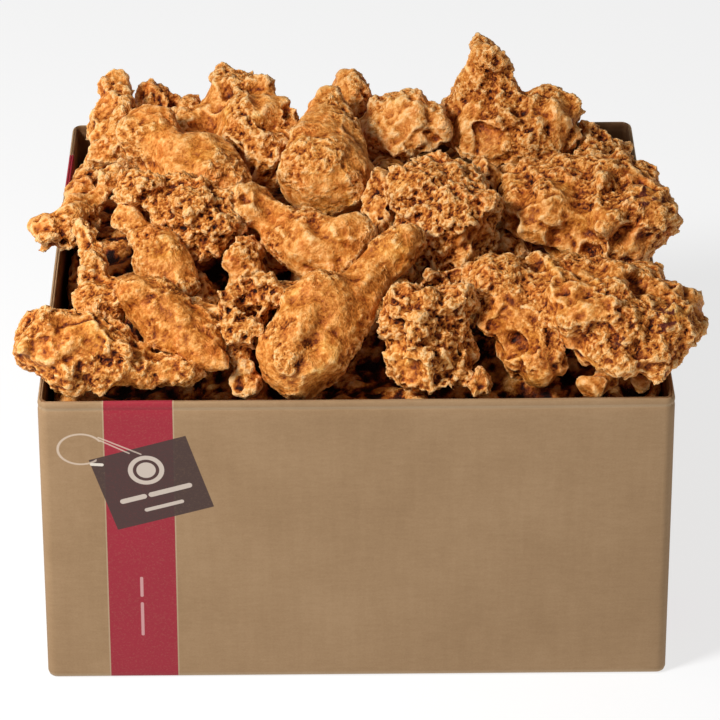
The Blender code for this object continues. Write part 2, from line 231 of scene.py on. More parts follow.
def formTree():
    # bends a plain body into soft folds, torn sheets of batter, wrinkles and pits
    write, inputs = startTree("formTree", {
        "fold": 0.003, "foldWave": 0.03, "sheet": 0.0014, "sheetWave": 0.016, "wrinkle": 0.0014,
        "wrinkleWave": 0.010, "pit": 0.0016, "rough": 0.005, "roughWave": 0.006, "crease": 0.003,
        "creaseWave": 0.03, "coverage": 0.5, "seed": 0.0, **bareSpot})
    start = write.add("GeometryNodeInputPosition")
    seed = inputs["seed"]
    broad = write.noiseVector(start, inputs["foldWave"], 1.0, 0.4, seed)
    narrow = write.noiseVector(start, inputs["foldWave"] * 0.45, 1.0, 0.5, seed + 5.0)
    push = write.vector("ADD", write.vector("SCALE", broad, scale=inputs["fold"] * 3.2),
                        write.vector("SCALE", narrow, scale=inputs["fold"] * 1.5))
    moved = write.add("GeometryNodeSetPosition", None, {"Geometry": inputs["Geometry"], "Offset": push})
    place = write.add("GeometryNodeInputPosition")
    normal = write.add("GeometryNodeInputNormal")
    patch = patchOf(write, place, inputs)
    swirl = write.noiseVector(place, 0.010, 2.0, 0.5, seed)
    bent = write.vector("ADD", place, write.vector("SCALE", swirl, scale=0.009))
    # sheets end in a torn step
    step = write.noise(bent, inputs["sheetWave"], 2.0, 0.5, seed + 2.0).rise(0.485, 0.515)
    step = step + write.noise(bent, inputs["sheetWave"] * 0.6, 2.0, 0.5, seed + 4.0).rise(0.53, 0.56)
    # wrinkles run along the lines where a noise crosses its middle
    wrinkle = crestOf(write.noise(bent, inputs["wrinkleWave"], 2.0, 0.55, seed + 1.0), 7.0)
    rough = write.noise(bent, inputs["roughWave"], 4.0, 0.62, seed + 11.0) - 0.5
    pit = write.noise(bent, 0.0085, 2.0, 0.6, seed + 6.0).rise(0.60, 0.70)
    lift = (step * inputs["sheet"] + wrinkle * inputs["wrinkle"]) * (patch * 0.75 + 0.25)
    lift = lift + rough * inputs["rough"] * (patch * 0.65 + 0.35)
    lift = lift - pit * inputs["pit"] * (patch * 0.8 + 0.2) - inputs["sheet"]
    crease = crestOf(write.noise(bent, inputs["creaseWave"], 1.0, 0.5, seed + 15.0), 6.0)
    lift = lift - crease * inputs["crease"]
    moved = write.add("GeometryNodeSetPosition", None,
                      {"Geometry": moved, "Offset": write.vector("SCALE", normal, scale=lift)})
    return endTree(write, moved)


def patchOf(write, place, inputs):
    # 0 where the crust is smooth, 1 where it is craggy; coverage 0 to 1
    spread = write.noise(place, 0.026, 2.0, 0.5, inputs["seed"] + 7.0)
    edge = 0.68 - inputs["coverage"] * 0.40
    spread = spread.rise(edge - 0.05, edge + 0.07)
    middle = write.add("ShaderNodeCombineXYZ", None, {0: inputs["bareX"], 1: inputs["bareY"], 2: inputs["bareZ"]})
    away = write.add("ShaderNodeVectorMath", {"operation": "DISTANCE"}, {0: place, 1: middle}, 1)
    away = away + (write.noise(place, 0.012, 2.0, 0.6, inputs["seed"]) - 0.5) * 0.03
    return spread * away.rise(inputs["bareSize"] * 0.8, inputs["bareSize"] * 1.15 + 0.00001)


def lumpTree():
    # strews crumbs of batter, short curls and ragged flakes over a body, to be fused with it afterwards
    write, inputs = startTree("lumpTree", {"crumbs": 60000.0, "smallest": 0.0008, "largest": 0.0030,
                                           "curls": 9000.0, "curlSize": 0.0034,
                                           "flakes": 900.0, "flakeSize": 0.006, "coverage": 0.5,
                                           "seed": 0.0, "draw": 1, **bareSpot})
    body = inputs["Geometry"]
    place = write.add("GeometryNodeInputPosition")
    patch = patchOf(write, place, inputs)
    cluster = write.noise(place, 0.010, 2.0, 0.6, inputs["seed"] + 3.0).rise(0.44, 0.60)

    def strew(density, drawSeed, instance, rotation, scale):
        spots = write.add("GeometryNodeDistributePointsOnFaces", {"distribute_method": "RANDOM"},
                          {"Mesh": body, "Density": density, "Seed": inputs["draw"] + drawSeed})
        upright = Wire(write, spots.socket.node.outputs["Rotation"])
        lean = write.add("FunctionNodeRotateRotation", {"rotation_space": "LOCAL"},
                         {0: upright, 1: write.add("FunctionNodeEulerToRotation", None, {0: rotation})})
        return write.add("GeometryNodeInstanceOnPoints", None,
                         {"Points": spots, "Instance": instance, "Rotation": lean, "Scale": scale})

    def chance(low, high, seed):
        if isinstance(low, tuple):
            return write.add("FunctionNodeRandomValue", {"data_type": "FLOAT_VECTOR"},
                             {0: low, 1: high, "Seed": seed})
        return write.add("FunctionNodeRandomValue", {"data_type": "FLOAT"}, {2: low, 3: high, "Seed": seed}, 1)

    def ball(detail, spread, wave, seed):
        # a sphere whose outline is broken by noise
        start = write.add("GeometryNodeMeshIcoSphere", None, {"Radius": 1.0, "Subdivisions": detail})
        dents = write.noiseVector(write.add("GeometryNodeInputPosition"), wave, 1.0, 0.5, seed)
        return start, write.vector("SCALE", dents, scale=spread)

    start, dents = ball(2, 1.3, 0.9, 2.0)
    crumb = write.add("GeometryNodeSetPosition", None, {"Geometry": start, "Offset": dents})
    pick = chance(0.0, 1.0, 11)
    crumbSize = inputs["smallest"] + (inputs["largest"] - inputs["smallest"]) * pick * pick
    crumbs = strew(inputs["crumbs"] * (patch * 0.95 + 0.05) * cluster, 0, crumb,
                   chance((0, 0, 0), (6.28, 6.28, 6.28), 13),
                   write.vector("SCALE", chance((0.7, 0.7, 0.5), (1.4, 1.1, 1.0), 12), scale=crumbSize))
    # a curl is a crumb drawn out and bent
    start, dents = ball(3, 0.9, 1.1, 6.0)
    spot = write.add("GeometryNodeInputPosition")
    along, across, high = (write.add("ShaderNodeSeparateXYZ", None, {0: spot}, n) for n in range(3))
    bent = write.add("ShaderNodeCombineXYZ", None,
                     {0: along, 1: across * 0.34 + along * along * 0.55, 2: high * 0.34 + along * 0.12})
    curl = write.add("GeometryNodeSetPosition", None,
                     {"Geometry": start, "Position": bent, "Offset": write.vector("SCALE", dents, scale=0.4)})
    curls = strew(inputs["curls"] * (patch * 0.95 + 0.05), 3, curl,
                  chance((-0.35, -0.35, 0.0), (0.35, 0.35, 6.28), 17),
                  write.vector("SCALE", chance((0.7, 0.7, 0.8), (1.4, 1.2, 1.4), 18),
                               scale=inputs["curlSize"] * chance(0.5, 1.0, 19)))
    # a flake is a bent lens with a torn rim
    start, dents = ball(3, 1.3, 0.7, 5.0)
    spot = write.add("GeometryNodeInputPosition")
    along, across, high = (write.add("ShaderNodeSeparateXYZ", None, {0: spot}, n) for n in range(3))
    bent = write.add("ShaderNodeCombineXYZ", None,
                     {0: along, 1: across * 0.7, 2: along * along * 0.5 + high * 0.24})
    flake = write.add("GeometryNodeSetPosition", None,
                      {"Geometry": start, "Position": bent, "Offset": dents})
    flakes = strew(inputs["flakes"] * (patch * 0.9 + 0.1), 5, flake,
                   chance((-0.8, -0.8, 0.0), (0.8, 0.8, 6.28), 14),
                   write.vector("SCALE", (1.0, 1.0, 1.0), scale=inputs["flakeSize"] * chance(0.4, 1.0, 15)))
    joined = write.add("GeometryNodeJoinGeometry")
    for part in (body, crumbs, curls, flakes):
        write.tree.links.new(part.socket, joined.socket.node.inputs[0])
    return endTree(write, write.add("GeometryNodeRealizeInstances", None, {0: joined}))


def crustTree(crustMaterial):
    # fine wrinkles and grain on the fused body, and the values its colours follow
    write, inputs = startTree("crustTree", {"fine": 0.0007, "wrinkleWave": 0.010, "coverage": 0.5,
                                            "tone": 0.5, "seed": 0.0, "material": crustMaterial, **bareSpot})
    place = write.add("GeometryNodeInputPosition")
    normal = write.add("GeometryNodeInputNormal")
    seed = inputs["seed"]
    patch = patchOf(write, place, inputs)
    swirl = write.noiseVector(place, 0.006, 2.0, 0.5, seed)
    bent = write.vector("ADD", place, write.vector("SCALE", swirl, scale=0.005))
    fine = crestOf(write.noise(bent, inputs["wrinkleWave"] * 0.42, 2.0, 0.6, seed + 9.0), 6.0)
    grain = write.noise(bent, 0.0026, 2.0, 0.6, seed + 12.0) - 0.5
    lift = ((fine - 0.4) * 0.8 + grain * 1.6) * inputs["fine"] * (patch * 0.5 + 0.5)
    moved = write.add("GeometryNodeSetPosition", None,
                      {"Geometry": inputs["Geometry"], "Offset": write.vector("SCALE", normal, scale=lift)})
    # heights above the blurred skin, which the crust colour uses to darken hollows and lighten raised parts as painted
    # shade and painted highlight
    for label, steps, size in (("reliefFine", 2, 0.00018), ("relief", 12, 0.0008), ("reliefBroad", 60, 0.0024)):
        spot = write.add("GeometryNodeInputPosition")
        level = write.add("GeometryNodeBlurAttribute", {"data_type": "FLOAT_VECTOR"},
                          {"Value": spot, "Iterations": steps})
        away = write.vector("SUBTRACT", spot, level)
        height = write.add("ShaderNodeVectorMath", {"operation": "DOT_PRODUCT"},
                           {0: away, 1: write.add("GeometryNodeInputNormal")}, 1)
        moved = write.store(moved, label, height / size)
    later = write.add("GeometryNodeInputPosition")
    moved = write.store(moved, "crag", patchOf(write, later, inputs))
    moved = write.store(moved, "tone", inputs["tone"])
    moved = write.add("GeometryNodeSetShadeSmooth", None, {"Geometry": moved, "Shade Smooth": True})
    moved = write.add("GeometryNodeRealizeInstances", None, {0: moved})
    return endTree(write, write.add("GeometryNodeSetMaterial", None,
                                    {"Geometry": moved, "Material": inputs["material"]}))


# the fried crust
def makeCrustMaterial():
    material = bpy.data.materials.new("friedCrust")
    material.use_nodes = True
    tree = material.node_tree
    write = Writer(tree)
    shader = tree.nodes["Principled BSDF"]
    place = write.add("ShaderNodeTexCoord", output=3)
    relief, fine, broad = write.value("relief"), write.value("reliefFine"), write.value("reliefBroad")
    crag, tone = write.value("crag"), write.value("tone")
    swirl = write.noiseVector(place, 0.007, 1.0, 0.5, 1.0)
    bent = write.vector("ADD", place, write.vector("SCALE", swirl, scale=0.006))
    wrinkle = crestOf(write.noise(bent, 0.0052, 2.0, 0.6, 2.0), 6.0)
    hair = crestOf(write.noise(bent, 0.0024, 2.0, 0.6, 3.0), 5.0)
    cloud = write.noise(place, 0.014, 3.0, 0.6) - 0.5
    mottle = write.noise(place, 0.0040, 3.0, 0.65, 5.0) - 0.5
    speck = write.noise(place, 0.0011, 2.0, 0.6, 6.0) - 0.5
    # relief, fine and broad darken hollows and lighten raised parts: painted shade and painted highlight
    shade = crustTones["level"] + relief.least(0.9) * crustTones["relief"] + fine.least(1.5) * crustTones["fine"]
    shade = shade + broad * crustTones["broad"] + cloud * crustTones["cloud"] + mottle * crustTones["mottle"]
    shade = shade + speck * 0.25 + (tone - 0.5) * 0.8 - crag * 0.04
    # the wrinkle and hair crests are lightened: painted highlight
    shade = shade + ((wrinkle - 0.4) * 0.20 + (hair - 0.4) * 0.18) * (crag * 0.6 + 0.4)
    crust = write.add("ShaderNodeValToRGB", {"stops": crustTones["ramp"]}, {0: shade})
    meat = write.value("meat") * (write.noise(place, 0.005, 2.0, 0.6, 21.0) - 0.5).rise(-0.02, 0.10)
    red = write.noise(place, 0.015, 3.0, 0.55, 4.0).rise(0.50, 0.66)
    crust = write.mixColour(red * 0.6, crust, write.mixColour(1.0, crust, solid((1.0, 0.76, 0.58)), "MULTIPLY"))
    gold = write.noise(place, 0.023, 2.0, 0.5, 14.0).rise(0.52, 0.68) * (1 - crag)
    crust = write.mixColour(gold * 0.5, crust, write.mixColour(1.0, crust, solid((1.0, 1.06, 0.70)), "MULTIPLY"))
    # pale flecks on raised parts: partly flour on the crust, partly painted highlight
    flourAndHighlight = write.noise(place, 0.0045, 3.0, 0.7, 8.0).rise(0.52, 0.72) * relief.rise(0.0, 1.3)
    crust = write.mixColour(flourAndHighlight * 0.55, crust, solid((0.95, 0.64, 0.34)))
    crust = write.mixColour(meat, crust, solid((0.105, 0.018, 0.008)))
    tree.links.new(crust.socket, shader.inputs["Base Color"])
    rough = 0.52 + crag * 0.14 - relief * 0.03 + speck * 0.4
    shader.inputs["Specular IOR Level"].default_value = 0.18
    tree.links.new(rough.socket, shader.inputs["Roughness"])
    grain = wrinkle * 0.5 + hair * 0.35 + write.noise(place, 0.0009, 2.0, 0.6) * 0.4
    bump = write.add("ShaderNodeBump", None, {"Height": grain * (crag * 0.5 + 0.5), "Strength": 0.9,
                                              "Distance": 0.0013})
    tree.links.new(bump.socket, shader.inputs["Normal"])
    return material


# relief, fine and broad weigh the painted shade in hollows and the painted highlight on raised parts
crustTones = {
    "level": 0.552, "relief": 0.20, "fine": 0.12, "broad": 0.06, "cloud": 0.36, "mottle": 0.62,
    "ramp": ((0.00, (0.010, 0.0015, 0.0004)), (0.14, (0.060, 0.0075, 0.0009)),
             (0.30, (0.205, 0.0370, 0.0032)), (0.46, (0.430, 0.1220, 0.0130)),
             (0.62, (0.640, 0.2250, 0.0370)), (0.80, (0.840, 0.3900, 0.1080)),
             (1.00, (0.940, 0.5700, 0.2500)))}

crustStyles = {
    "smooth": {"fold": 0.0030, "foldWave": 0.026, "crumbs": 24000.0, "smallest": 0.0006, "largest": 0.0012,
               "curls": 13000.0, "curlSize": 0.0021, "flakes": 150.0, "flakeSize": 0.0040, "coverage": 0.44,
               "sheet": 0.0009, "sheetWave": 0.022, "wrinkle": 0.0016, "wrinkleWave": 0.009, "fine": 0.0007,
               "pit": 0.0006, "rough": 0.0042, "roughWave": 0.0056, "crease": 0.0022, "creaseWave": 0.034},
    "craggy": {"fold": 0.0042, "foldWave": 0.023, "crumbs": 30000.0, "smallest": 0.0006, "largest": 0.0013,
               "curls": 26000.0, "curlSize": 0.0021, "flakes": 500.0, "flakeSize": 0.0042, "coverage": 0.56,
               "sheet": 0.0015, "sheetWave": 0.018, "wrinkle": 0.0019, "wrinkleWave": 0.009, "fine": 0.0008,
               "pit": 0.0010, "rough": 0.0046, "roughWave": 0.0058, "crease": 0.0044, "creaseWave": 0.030},
    "crunchy": {"fold": 0.0050, "foldWave": 0.020, "crumbs": 34000.0, "smallest": 0.0006, "largest": 0.0014,
                "curls": 36000.0, "curlSize": 0.0024, "flakes": 1300.0, "flakeSize": 0.0046, "coverage": 0.82,
                "sheet": 0.0018, "sheetWave": 0.015, "wrinkle": 0.0024, "wrinkleWave": 0.009, "fine": 0.0009,
                "pit": 0.0014, "rough": 0.0058, "roughWave": 0.0060, "crease": 0.0050, "creaseWave": 0.026},
}

pieceStyles = {
    "wing_front_left": ("smooth", 0.42), "drumstick_front_left": ("craggy", 0.48),
    "drumstick_front": ("smooth", 0.48), "thigh_front": ("crunchy", 0.50), "curl_front": ("craggy", 0.40),
    "breast_front_right": ("craggy", 0.50), "drumette_left": ("craggy", 0.52),
    "drumette_left_middle": ("smooth", 0.50), "wing_far_left": ("craggy", 0.55), "wing_under": ("smooth", 0.45),
    "thigh_left": ("smooth", 0.56), "wing_left": ("crunchy", 0.50), "wing_back_left": ("craggy", 0.58),
    "curl_middle": ("crunchy", 0.46), "drumstick_middle": ("smooth", 0.54), "knob_middle": ("craggy", 0.52),
    "drumstick_back": ("smooth", 0.58), "knob_back": ("craggy", 0.55), "thigh_back_left": ("craggy", 0.57),
    "thigh_middle": ("crunchy", 0.54), "thigh_back": ("craggy", 0.66), "thigh_right": ("craggy", 0.50),
    "drumette_peak": ("crunchy", 0.55), "thigh_back_right": ("craggy", 0.52), "wing_back_right": ("crunchy", 0.46),
    "drumette_middle": ("craggy", 0.50), "wing_middle_right": ("crunchy", 0.46), "knob_right": ("craggy", 0.46),
}


def cadCopy(nodes, name):
    # the loose triangles of one or more CAD nodes, merged into skins
    skin = bmesh.new()
    for node in nodes:
        source = next(thing for thing in bpy.data.objects if thing.name == node)
        skin.from_mesh(source.data)
    bmesh.ops.remove_doubles(skin, verts=skin.verts, dist=0.00001)
    bmesh.ops.recalc_face_normals(skin, faces=skin.faces)
    mesh = bpy.data.meshes.new(name)
    skin.to_mesh(mesh)
    skin.free()
    piece = bpy.data.objects.new(name, mesh)
    bpy.context.scene.collection.objects.link(piece)
    return piece


def settle(piece):
    # turns a piece and its modifiers into a plain mesh
    graph = bpy.context.evaluated_depsgraph_get()
    mesh = bpy.data.meshes.new_from_object(piece.evaluated_get(graph), preserve_all_data_layers=True,
                                           depsgraph=graph)
    piece.modifiers.clear()
    old = piece.data
    piece.data = mesh
    bpy.data.meshes.remove(old)
    return piece


cartonLow, cartonHigh = (Vector(corner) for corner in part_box("carton"))
cartonSizes = {"board": 0.0035, "cornerRadius": 0.006, "topRadius": 0.0014, "groove": 0.0010,
               "bow": 0.0016, "creaseDepth": 0.0006,
               "flare": 0.035}    # how much wider the walls stand at the foot


def keepInside(piece):
    # a crust that grew into a wall is pressed back
    rim = cartonHigh.z
    for vertex in piece.data.vertices:
        spot = vertex.co
        if spot.z < rim - 0.002:
            for axis in (0, 1):
                inner = cartonHigh[axis] - cartonSizes["board"] * 0.75
                spot[axis] = max(-inner, min(inner, spot[axis]))


crustSizes = {"bodyVoxel": 0.0028, "rounding": 8, "skinVoxel": 0.00105, "deepVoxel": 0.0015,
              "coreVoxel": 0.0022, "softening": 1}

# What marks a piece out. Places are shares of its box; sizes are millimetres.
# lobe: middle, half sizes. ridge and groove: both ends, half width, height. dent: middle, half width, depth.
# bare: middle and half size of its smooth side. meat: middle and half size of a dark torn spot.
pieceMarks = {
    "drumstick_front_left": (
        ("ridge", (0.45, 0.5, 0.9), (0.6, 0.2, 0.6), 5, 4.5), ("groove", (0.1, 0.6, 0.95), (0.2, 0.1, 0.7), 3, 3.5),
        ("groove", (0.65, 0.45, 0.7), (0.65, 0.15, 0.5), 4, 4), ("lobe", (0.1, 0.4, 0.6), (15, 15, 14)),
        ("bare", (0.35, 0.3, 0.85), 17)),
    "wing_front_left": (("lobe", (0.2, 0.7, 0.8), (13, 14, 13)), ("groove", (0.6, 0.6, 0.85), (0.9, 0.3, 0.55), 3, 2.5),
                        ("bare", (0.55, 0.3, 0.75), 18)),
    "drumette_left": (("lobe", (0.7, 0.2, 0.4), (14, 13, 12)), ("groove", (0.4, 0.75, 0.85), (0.7, 0.2, 0.55), 3, 3)),
    "wing_far_left": (("groove", (0.6, 0.6, 0.7), (0.75, 0.4, 0.6), 6, 4), ("lobe", (0.15, 0.2, 0.4), (15, 16, 11)),
                      ("groove", (0.2, 0.3, 0.6), (0.35, 0, 0.35), 3, 3)),
    "wing_back_left": (("lobe", (0.55, 0.3, 0.35), (19, 16, 15)), ("groove", (0.45, 0.55, 0.75), (0.5, 0.2, 0.35), 3, 3.5),
                       ("bare", (0.3, 0.55, 0.7), 11)),
    "wing_left": (("dent", (0.5, 0.15, 0.7), 5, 8), ("lobe", (0.2, 0.6, 0.8), (15, 15, 13)),
                  ("groove", (0.3, 0.6, 0.95), (0.4, 0.2, 0.7), 4, 4), ("ridge", (0.55, 0.5, 0.95), (0.85, 0.2, 0.75), 5, 4)),
    "thigh_left": (("lobe", (0.25, 0.7, 0.8), (20, 16, 17)), ("groove", (0.5, 0.75, 0.95), (0.6, 0.3, 0.8), 4, 3.5),
                   ("groove", (0.15, 0.4, 0.6), (0.4, 0.25, 0.6), 5, 4), ("bare", (0.45, 0.35, 0.85), 24)),
    "thigh_back_left": (("lobe", (0.05, 0.5, 0.5), (22, 22, 17)), ("groove", (0.25, 0.6, 0.95), (0.15, 0.35, 0.65), 6, 7),
                        ("ridge", (0.6, 0.7, 1), (0.85, 0.4, 0.8), 7, 5), ("groove", (0.5, 0.45, 0.9), (0.6, 0.1, 0.6), 5, 5),
                        ("bare", (0.2, 0.4, 0.65), 15)),
    "drumstick_back": (("lobe", (0.7, 0.25, 0.35), (20, 16, 18)), ("ridge", (0.35, 0.6, 0.85), (0.15, 0.25, 0.6), 6, 4),
                       ("groove", (0.6, 0.55, 0.85), (0.6, 0.15, 0.55), 4, 3)),
    "drumstick_middle": (("lobe", (0.1, 0.8, 0.75), (15, 15, 14)), ("lobe", (0.85, 0.4, 0.7), (17, 15, 15)),
                         ("dent", (0.1, 0.7, 1), 4, 4), ("groove", (0.25, 0.7, 0.9), (0.3, 0.35, 0.65), 4, 3),
                         ("groove", (0.6, 0.45, 0.9), (0.8, 0.1, 0.6), 4, 4), ("bare", (0.7, 0.25, 0.75), 18)),
    "knob_middle": (("groove", (0.3, 0.8, 0.9), (0.6, 0.2, 0.7), 3, 3),),
    "curl_middle": (("dent", (0.4, 0.3, 0.9), 8, 17), ("ridge", (0.15, 0.6, 0.9), (0.3, 0.1, 0.6), 5, 6),
                    ("ridge", (0.25, 0.7, 0.95), (0.6, 0.6, 1.0), 5, 6), ("ridge", (0.6, 0.55, 1.0), (0.95, 0.65, 0.9), 5, 5),
                    ("groove", (0.6, 0.3, 0.8), (0.7, 0.05, 0.4), 5, 7)),
    "drumstick_front": (("dent", (0.35, 0.1, 0.6), 4, 3), ("groove", (0.45, 0.25, 0.75), (0.3, 0.05, 0.45), 3, 3),
                        ("groove", (0.35, 0.1, 0.6), (0.2, 0.15, 0.55), 3, 2.5), ("ridge", (0.3, 0.2, 0.7), (0.2, 0.1, 0.5), 5, 3),
                        ("lobe", (0.95, 0.9, 0.9), (12, 11, 11)), ("lobe", (0.4, 0.5, 0.65), (26, 17, 17)),
                        ("bare", (0.5, 0.3, 0.65), 15)),
    "thigh_front": (("lobe", (0.3, 0.6, 0.85), (17, 15, 15)), ("lobe", (0.8, 0.7, 0.85), (13, 13, 12)),
                    ("groove", (0.5, 0.8, 1), (0.6, 0.3, 0.85), 4, 5), ("groove", (0.1, 0.35, 0.6), (0.65, 0.2, 0.65), 4, 4),
                    ("groove", (0.6, 0.3, 0.8), (0.65, 0, 0.35), 4, 4), ("bare", (0.25, 0.1, 0.5), 13)),
    "curl_front": (("dent", (0.35, 0.25, 0.55), 10, 9), ("ridge", (0.1, 0.4, 0.6), (0.4, 0.6, 1), 6, 5),
                   ("ridge", (0.4, 0.6, 1), (0.85, 0.2, 0.6), 6, 6), ("bare", (0.35, 0.25, 0.55), 17)),
    "breast_front_right": (("lobe", (0.1, 0.7, 0.75), (20, 17, 14)), ("groove", (0.25, 0.85, 0.85), (0.25, 0.45, 0.7), 5, 6),
                           ("ridge", (0.3, 0.9, 0.95), (0.35, 0.4, 0.85), 7, 5), ("lobe", (0.5, 0.4, 0.75), (28, 24, 17)),
                           ("groove", (0.55, 0.8, 1), (0.5, 0.25, 0.7), 6, 6), ("ridge", (0.45, 0.3, 0.8), (0.4, 0.15, 0.45), 6, 4),
                           ("lobe", (0.85, 0.3, 0.55), (18, 17, 18)), ("groove", (0.7, 0.6, 1), (0.65, 0.1, 0.6), 5, 5),
                           ("meat", (0.8, 0.25, 0.8), 11), ("meat", (0.6, 0.1, 0.65), 7), ("bare", (0.4, 0.4, 0.9), 16)),
    "thigh_right": (("lobe", (0.3, 0.4, 0.6), (27, 25, 20)), ("groove", (0.5, 0.6, 1), (0.5, 0.05, 0.5), 6, 8),
                    ("ridge", (0.55, 0.5, 1), (0.6, 0.05, 0.55), 6, 5), ("lobe", (0.8, 0.35, 0.65), (24, 22, 19)),
                    ("groove", (0.7, 0.5, 0.95), (0.7, 0.05, 0.6), 4, 5), ("meat", (0.8, 0.3, 0.9), 12),
                    ("meat", (0.9, 0.25, 0.7), 7), ("bare", (0.3, 0.2, 0.6), 27)),
    "thigh_middle": (("lobe", (0.25, 0.6, 0.85), (18, 20, 15)), ("lobe", (0.65, 0.3, 0.8), (22, 20, 17)),
                     ("dent", (0.55, 0.4, 0.95), 5, 6), ("groove", (0.3, 0.65, 1), (0.35, 0.2, 0.7), 5, 6),
                     ("groove", (0.4, 0.5, 1), (0.85, 0.55, 0.9), 4, 4), ("bare", (0.7, 0.15, 0.65), 12)),
    "thigh_back_right": (("groove", (0.3, 0.55, 0.95), (0.35, 0.15, 0.65), 6, 6), ("groove", (0.55, 0.4, 0.95), (0.6, 0.1, 0.6), 4, 4),
                         ("lobe", (0.8, 0.45, 0.7), (19, 17, 15)), ("meat", (0.65, 0.3, 0.9), 7), ("bare", (0.2, 0.25, 0.7), 15)),
    "thigh_back": (("bare", (0.5, 0.2, 0.75), 20), ("groove", (0.7, 0.3, 0.95), (0.8, 0.1, 0.6), 4, 4)),
    "drumette_peak": (("lobe", (0.45, 0.45, 0.75), (17, 15, 15)), ("dent", (0.4, 0.4, 0.65), 4, 3),
                      ("groove", (0.3, 0.45, 0.6), (0.6, 0.2, 0.5), 4, 3)),
}
joinedPieces = {"thigh_back_right": ("drumette_peak",)}      # crusts that run into each other
farPieces = ("piece_", "thigh_back_low", "wing_back_low", "drumette_back_left", "wing_deep", "wing_under")


def placeIn(node, shares):
    low, high = (Vector(corner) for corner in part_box(node))
    return Vector([low[axis] + (high[axis] - low[axis]) * shares[axis] for axis in range(3)])


def addLobes(piece, node):
    # rounded masses, to be fused with the body by its remesh
    skin = bmesh.new()
    skin.from_mesh(piece.data)
    for mark in pieceMarks.get(node, ()):
        if mark[0] == "lobe":
            middle = placeIn(node, mark[1])
            half = Matrix.Diagonal([size * millimetre for size in mark[2]]).to_4x4()
            bmesh.ops.create_icosphere(skin, subdivisions=3, radius=1.0,
                                       matrix=Matrix.Translation(middle) @ half)
    skin.to_mesh(piece.data)
    skin.free()


def wanderAt(place):
    # three steady noises; the module's own vector noise changes with the clock
    return Vector([noise.noise(place * 90 + Vector((shift, shift, 0))) * 0.7 for shift in (0, 31, 67)])


def pressMarks(piece, node):
    # ridges, grooves and dents, pushed along the skin's own normals
    places = [vertex.co.copy() for vertex in piece.data.vertices]
    wander = [wanderAt(place) for place in places]
    for mark in pieceMarks.get(node, ()):
        if mark[0] not in ("ridge", "groove", "dent"):
            continue
        first = placeIn(node, mark[1])
        last = placeIn(node, mark[2]) if mark[0] != "dent" else first
        width, height = mark[-2] * millimetre, mark[-1] * millimetre
        if mark[0] != "ridge":
            height = -height
        run = last - first
        length = max(run.length_squared, 1e-9)
        for vertex in piece.data.vertices:
            spot = vertex.co
            share = max(0.0, min(1.0, (spot - first).dot(run) / length))
            away = (spot + wander[vertex.index] * width - first - run * share).length / width
            if away < 2.2:
                places[vertex.index] += vertex.normal * height * math.exp(-away * away)
    for vertex, place in zip(piece.data.vertices, places):
        vertex.co = place


def markMeat(piece, node):
    spots = [(placeIn(node, mark[1]), mark[2] * millimetre)
             for mark in pieceMarks.get(node, ()) if mark[0] == "meat"]
    if spots:
        values = piece.data.attributes.new("meat", "FLOAT", "POINT").data
        for vertex in piece.data.vertices:
            share = max(1 - (vertex.co - middle).length / size for middle, size in spots)
            values[vertex.index].value = max(0.0, min(1.0, share * 3))


def fryPiece(node, number, trees):
    style, tone = pieceStyles.get(node, ("craggy", 0.40))
    sizes = dict(crustStyles[style], tone=tone, seed=number * 3.7, draw=number + 1)
    nodes = (node, *joinedPieces.get(node, ()))
    piece = cadCopy(nodes, node + "_crust")
    voxel = crustSizes["deepVoxel"] if node.startswith(farPieces) else crustSizes["skinVoxel"]
    if node == "hidden_pieces":
        cutLow(piece, cartonHigh.z - 0.075)
        # the hidden core takes a dark tone: painted shade in the gaps between pieces
        sizes.update(fold=0.0075, foldWave=0.034, tone=0.27)
        voxel = crustSizes["coreVoxel"]
    for mark in pieceMarks.get(node, ()):
        if mark[0] == "bare":
            spot = placeIn(node, mark[1])
            sizes.update(bareX=spot.x, bareY=spot.y, bareZ=spot.z, bareSize=mark[2] * millimetre)
    for name in nodes:
        addLobes(piece, name)
    body = piece.modifiers.new("body", "REMESH")
    body.mode = "VOXEL"
    body.voxel_size = crustSizes["bodyVoxel"]
    rounding = piece.modifiers.new("rounding", "SMOOTH")
    rounding.iterations = crustSizes["rounding"]
    settle(piece)
    for name in nodes:
        pressMarks(piece, name)
    if node != "hidden_pieces":
        finer = piece.modifiers.new("finer", "SUBSURF")
        finer.levels = finer.render_levels = 1
    useTree(piece, trees["form"], sizes)
    useTree(piece, trees["lumps"], sizes)
    skin = piece.modifiers.new("skin", "REMESH")
    skin.mode = "VOXEL"
    skin.voxel_size = voxel
    softening = piece.modifiers.new("softening", "SMOOTH")
    softening.iterations = crustSizes["softening"]
    useTree(piece, trees["crust"], dict(sizes, material=trees["material"]))
    settle(piece)
    keepInside(piece)
    for name in nodes:
        markMeat(piece, name)
    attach(piece, "root")
    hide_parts(*nodes)
    return piece


def cutLow(piece, level):
    # keeps what stands above a level, closed again underneath
    skin = bmesh.new()
    skin.from_mesh(piece.data)
    bmesh.ops.bisect_plane(skin, geom=skin.verts[:] + skin.edges[:] + skin.faces[:], plane_co=(0, 0, level),
                           plane_no=(0, 0, -1), clear_outer=True)
    bmesh.ops.holes_fill(skin, edges=[e for e in skin.edges if e.is_boundary])
    skin.to_mesh(piece.data)
    skin.free()


crustMaterial = makeCrustMaterial()
trees = {"form": formTree(), "lumps": lumpTree(), "crust": crustTree(crustMaterial), "material": crustMaterial}
runInto = [node for others in joinedPieces.values() for node in others]
chickenNodes = [node for node in frame["nodes"] if node != "carton" and node not in runInto]
crusts = []
for number, node in enumerate(sorted(chickenNodes)):
    crusts.append(fryPiece(node, number, trees))
faceCounts = sorted((len(c.data.loops) - 2 * len(c.data.polygons), c.name) for c in crusts)
report("%d pieces fried, %d triangles, most %s" % (len(crusts), sum(f for f, n in faceCounts), faceCounts[-3:]))

